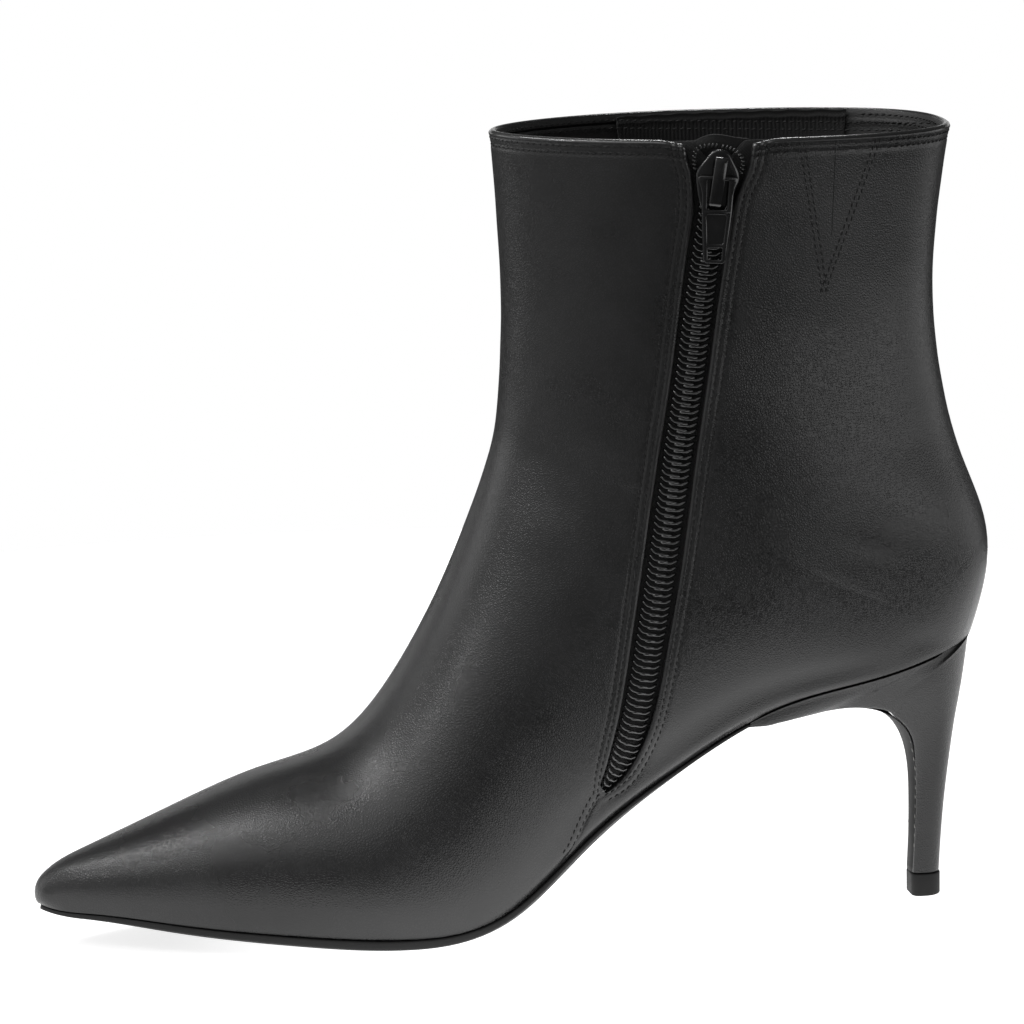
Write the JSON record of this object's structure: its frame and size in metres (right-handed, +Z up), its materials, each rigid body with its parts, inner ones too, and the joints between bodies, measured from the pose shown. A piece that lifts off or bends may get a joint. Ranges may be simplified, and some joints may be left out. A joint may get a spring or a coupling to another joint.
{
  "type": "ankle boot",
  "caption": "Heeled ankle boot for the right foot: pointed toe, slim curved heel, hollow shaft open at the collar, and an inner side zip with a hinged pull tab.",
  "frame": {"origin": "on the floor, at the middle of the boot's box in X and Y", "axes": "-X to the toe, +X to the heel, -Y to the inner side of the foot with the zip, +Y to the outer side, +Z up"},
  "size_m": [0.25, 0.0796, 0.2047],
  "materials": {
    "upper_leather": "smooth satin black, fine grain",
    "heel_leather": "smooth satin black, drawn tight over the heel",
    "sole": "black, half matt, dyed edge",
    "insole": "black, matt",
    "lift": "black, hard, matt",
    "zip_cloth": "black woven tape",
    "coil": "black nylon coil",
    "black_metal": "glossy black lacquer",
    "elastic": "black ribbed elastic"
  },
  "bodies": {
    "boot": {"upper": "upper_leather", "outsole": "sole", "insole": "insole", "heel": "heel_leather", "top_lift": "lift", "zip_tape": "zip_cloth", "zip_chain": "coil", "zip_guard": "upper_leather", "zip_slider": "black_metal", "gore_elastic": "elastic"},
    "pull": {"zip_pull": "black_metal"}
  },
  "joints": [
    {"name": "pull_swing", "type": "hinge", "parent": "boot", "child": "pull", "pos_m": [0.04833, -0.03598, 0.19514], "axis": [-0.9915, 0.0696, 0.1096], "range_deg": [-4, 160]}
  ]
}
